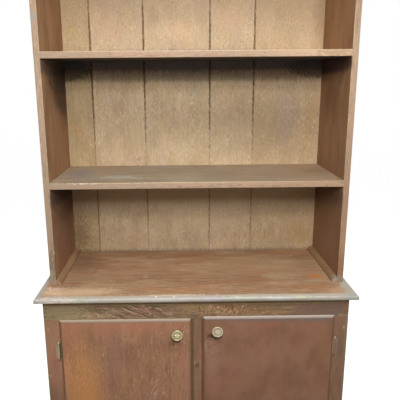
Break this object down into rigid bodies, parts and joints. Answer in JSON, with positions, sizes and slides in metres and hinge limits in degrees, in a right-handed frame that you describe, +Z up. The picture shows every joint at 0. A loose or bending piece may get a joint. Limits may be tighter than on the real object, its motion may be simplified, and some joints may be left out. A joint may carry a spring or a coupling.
{
  "type": "step back cupboard",
  "caption": "Step back cupboard: an open boarded-back hutch with shelves over a deeper lower case with a face frame, two lipped hinged doors and round knobs.",
  "frame": {"origin": "on the floor, in the middle of the cupboard's width and of its depth from the knobs to the back", "axes": "+X to the right, +Y to the back (the doors face -Y), +Z up"},
  "size_m": [1.054, 0.4492, 1.92],
  "materials": {
    "hutch_wood": "stained softwood boards, worn waxed edges",
    "back_wood": "unfinished weathered softwood boards",
    "worktop_wood": "stained boards, rubbed and worn, silvery worn edge",
    "frame_wood": "stained oak with ray flecks",
    "case_wood": "stained softwood, dull",
    "left_door_wood": "warm stained board with vertical grain",
    "right_door_wood": "dark stained board with a cathedral figure",
    "brass_knob": "aged stamped brass",
    "brass_hinge": "aged brass, partly painted over",
    "steel": "dull steel",
    "catch_case": "brown enamelled steel case"
  },
  "bodies": {
    "cabinet": {"base_back_board_1": "back_wood", "base_back_board_2": "back_wood", "base_back_board_3": "back_wood", "base_back_board_4": "back_wood", "base_back_nails": "steel", "base_bottom_board": "case_wood", "base_inner_shelf": "case_wood", "base_rear_rail": "case_wood", "base_side_left": "case_wood", "base_side_right": "case_wood", "frame_bottom_rail": "frame_wood", "frame_centre_stile": "frame_wood", "frame_hinge_screws": "steel", "frame_left_stile": "frame_wood", "frame_right_stile": "frame_wood", "frame_top_rail": "frame_wood", "hutch_back_board_1": "back_wood", "hutch_back_board_2": "back_wood", "hutch_back_board_3": "back_wood", "hutch_back_board_4": "back_wood", "hutch_back_board_5": "back_wood", "hutch_back_nails": "steel", "hutch_cleat_left": "hutch_wood", "hutch_cleat_right": "hutch_wood", "hutch_shelf_middle": "hutch_wood", "hutch_shelf_upper": "hutch_wood", "hutch_side_left": "hutch_wood", "hutch_side_right": "hutch_wood", "hutch_top_board": "hutch_wood", "left_door_catch": "catch_case", "left_door_lower_hinge_frame_leaf": "brass_hinge", "left_door_lower_hinge_pin": "brass_hinge", "left_door_upper_hinge_frame_leaf": "brass_hinge", "left_door_upper_hinge_pin": "brass_hinge", "right_door_catch": "catch_case", "right_door_lower_hinge_frame_leaf": "brass_hinge", "right_door_lower_hinge_pin": "brass_hinge", "right_door_upper_hinge_frame_leaf": "brass_hinge", "right_door_upper_hinge_pin": "brass_hinge", "shelf_cleat_left": "case_wood", "shelf_cleat_right": "case_wood", "worktop": "worktop_wood", "worktop_cleat_left": "case_wood", "worktop_cleat_right": "case_wood", "worktop_screws": "steel"},
    "left_door": {"left_door": "left_door_wood", "left_door_hinge_screws": "steel", "left_door_knob": "brass_knob", "left_door_knob_screw": "steel", "left_door_lower_hinge_door_leaf": "brass_hinge", "left_door_strike": "steel", "left_door_upper_hinge_door_leaf": "brass_hinge"},
    "right_door": {"right_door": "right_door_wood", "right_door_hinge_screws": "steel", "right_door_knob": "brass_knob", "right_door_knob_screw": "steel", "right_door_lower_hinge_door_leaf": "brass_hinge", "right_door_strike": "steel", "right_door_upper_hinge_door_leaf": "brass_hinge"}
  },
  "joints": [
    {"name": "left_door_hinge", "type": "hinge", "parent": "cabinet", "child": "left_door", "pos_m": [-0.4629, -0.19205, 0.4115], "axis": [0, 0, -1], "range_deg": [0, 150]},
    {"name": "right_door_hinge", "type": "hinge", "parent": "cabinet", "child": "right_door", "pos_m": [0.4669, -0.19205, 0.4115], "axis": [0, 0, 1], "range_deg": [0, 150]}
  ]
}
